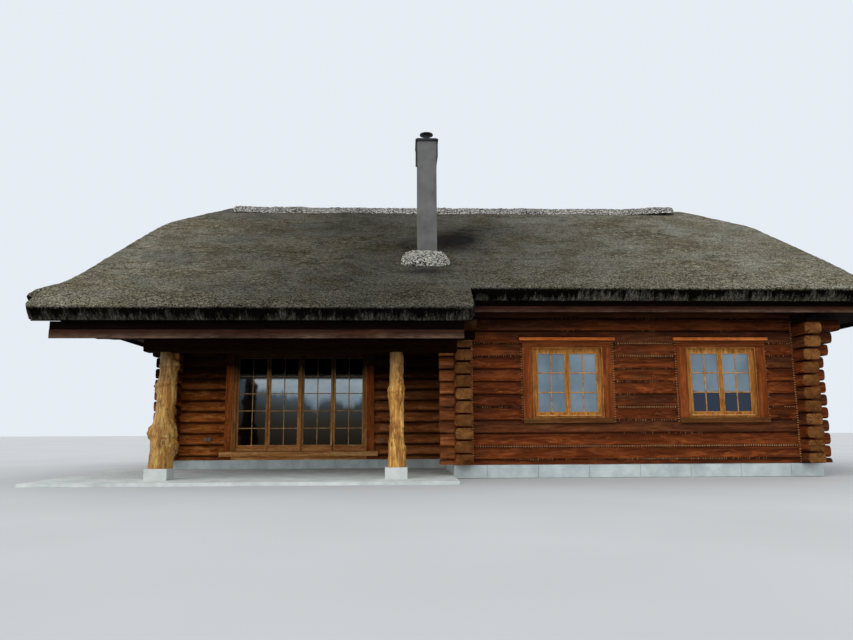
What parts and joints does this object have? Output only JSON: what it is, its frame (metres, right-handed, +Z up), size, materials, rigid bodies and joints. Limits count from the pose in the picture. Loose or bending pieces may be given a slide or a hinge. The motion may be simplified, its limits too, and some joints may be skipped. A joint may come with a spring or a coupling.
{
  "type": "thatched log house",
  "caption": "Detached log house with a thatched hip roof, a recessed terrace on trunk posts under the lower eave, glazed terrace doors that swing inward, and a slim chimney.",
  "frame": {"origin": "on the ground under the middle of the ridge", "axes": "+X to the right seen from the front, +Y from the front to the back, +Z up; the front faces -Y"},
  "size_m": [16.72, 9.66, 7.4203],
  "materials": {
    "thatch_reed": "weathered reed thatch",
    "ridge_reed": "pale weathered reed",
    "log_wood": "stained logs",
    "roof_timber": "dark stained boards",
    "peeled_trunk": "peeled and oiled trunk",
    "joinery_wood": "satin varnish",
    "casing_wood": "stained boards",
    "pane_glass": "clear",
    "concrete": "cast concrete",
    "stack_face": "grey render",
    "dark_sheet": "dark matt sheet"
  },
  "bodies": {
    "root": {"foundation_wing": "concrete", "foundation_left": "concrete", "terrace_slab": "concrete", "post_block_left": "concrete", "post_block_right": "concrete", "porch_post_left": "peeled_trunk", "porch_post_right": "peeled_trunk", "porch_beam": "roof_timber", "porch_ceiling": "roof_timber", "front_wall": "log_wood", "back_wall": "log_wood", "right_end_wall": "log_wood", "left_end_wall": "log_wood", "wing_side_wall": "log_wood", "recess_wall_left": "log_wood", "recess_wall_right": "log_wood", "recess_wall_over_door": "log_wood", "front_window_1_casing": "casing_wood", "front_window_1_frame": "joinery_wood", "front_window_1_glass": "pane_glass", "front_window_2_casing": "casing_wood", "front_window_2_frame": "joinery_wood", "front_window_2_glass": "pane_glass", "right_window_frame": "joinery_wood", "right_window_glass": "pane_glass", "back_window_1_frame": "joinery_wood", "back_window_1_glass": "pane_glass", "back_window_2_frame": "joinery_wood", "back_window_2_glass": "pane_glass", "left_window_frame": "joinery_wood", "left_window_glass": "pane_glass", "terrace_door_frame": "joinery_wood", "roof_frame_front": "roof_timber", "roof_frame_back": "roof_timber", "roof_frame_left": "roof_timber", "roof_frame_right": "roof_timber", "front_fascia": "roof_timber", "porch_fascia": "roof_timber", "back_fascia": "roof_timber", "thatch_front": "thatch_reed", "thatch_back": "thatch_reed", "thatch_left_end": "thatch_reed", "thatch_right_end": "thatch_reed", "ridge_cap": "ridge_reed", "chimney_stack": "stack_face", "chimney_cap": "dark_sheet", "chimney_cowl": "dark_sheet", "chimney_collar": "ridge_reed"},
    "door_leaf_1": {"door_leaf_1": "joinery_wood", "door_leaf_1_glass": "pane_glass"},
    "door_leaf_2": {"door_leaf_2": "joinery_wood", "door_leaf_2_glass": "pane_glass"},
    "door_leaf_3": {"door_leaf_3": "joinery_wood", "door_leaf_3_glass": "pane_glass"},
    "door_leaf_4": {"door_leaf_4": "joinery_wood", "door_leaf_4_glass": "pane_glass"}
  },
  "joints": [
    {"name": "door_leaf_1_hinge", "type": "hinge", "parent": "root", "child": "door_leaf_1", "pos_m": [-5.284, -0.82, 1.5], "axis": [0, 0, 1], "range_deg": [0, 90]},
    {"name": "door_leaf_2_hinge", "type": "hinge", "parent": "root", "child": "door_leaf_2", "pos_m": [-3.8295, -0.82, 1.5], "axis": [0, 0, -1], "range_deg": [0, 90]},
    {"name": "door_leaf_3_hinge", "type": "hinge", "parent": "root", "child": "door_leaf_3", "pos_m": [-3.7855, -0.82, 1.5], "axis": [0, 0, 1], "range_deg": [0, 90]},
    {"name": "door_leaf_4_hinge", "type": "hinge", "parent": "root", "child": "door_leaf_4", "pos_m": [-2.331, -0.82, 1.5], "axis": [0, 0, -1], "range_deg": [0, 90]}
  ]
}
